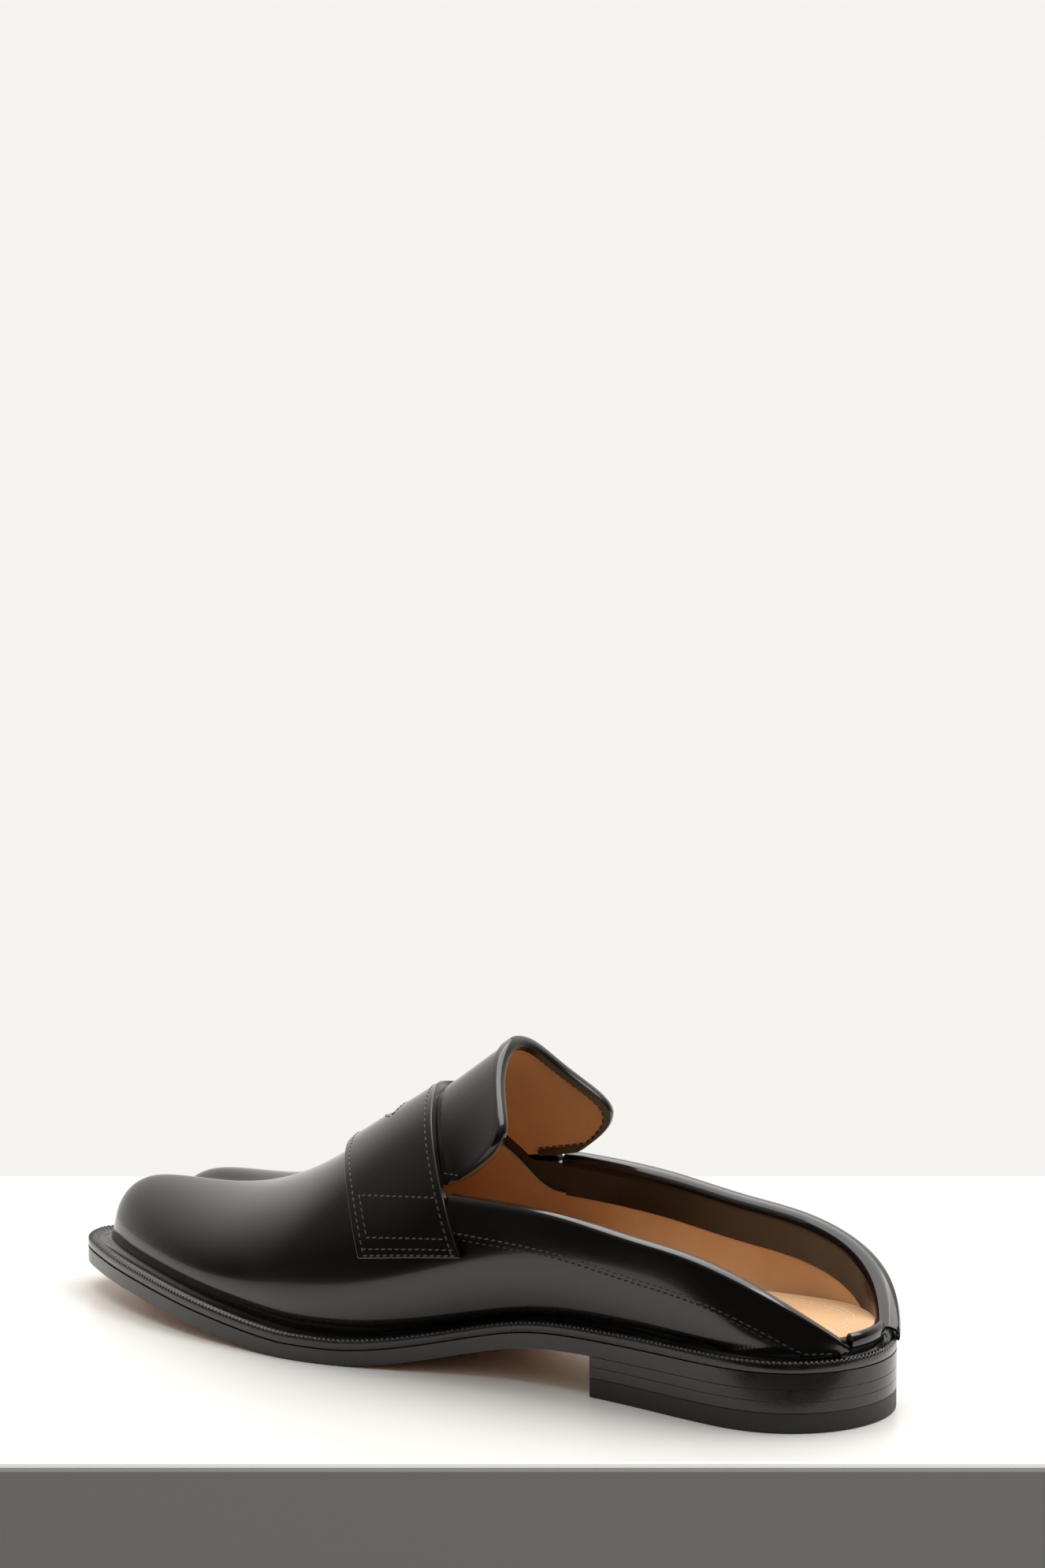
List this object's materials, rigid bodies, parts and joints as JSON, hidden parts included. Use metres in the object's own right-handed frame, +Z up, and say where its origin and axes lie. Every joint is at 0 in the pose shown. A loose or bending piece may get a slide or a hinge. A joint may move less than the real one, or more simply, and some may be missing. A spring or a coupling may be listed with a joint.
{
  "type": "loafer",
  "caption": "Split-toe backless loafer for the left foot, with saddle strap, flared tongue, welted leather sole and low stacked heel.",
  "frame": {"origin": "on the floor, under the middle of the shoe's overall box", "axes": "+Z up, toe towards -Y, heel towards +Y, lateral side towards +X"},
  "size_m": [0.0886, 0.2696, 0.0899],
  "materials": {
    "upper_leather": "polished smooth calf, near black",
    "lining_leather": "natural tan, soft sheen",
    "insole_leather": "natural tan, soft sheen",
    "edge_leather": "burnished black edge, satin",
    "sole_leather": "natural tan underside with blackened edge",
    "heel_rubber": "matt black",
    "thread": "waxed thread, black, cream on the insole"
  },
  "bodies": {
    "root": {"outsole": "sole_leather", "welt": "edge_leather", "insole": "insole_leather", "heel_stack": "edge_leather", "top_piece": "heel_rubber", "upper": "upper_leather", "collar_lateral": "upper_leather", "collar_medial": "upper_leather", "saddle_strap": "upper_leather", "tongue": "upper_leather", "heel_rand": "upper_leather"}
  },
  "joints": []
}
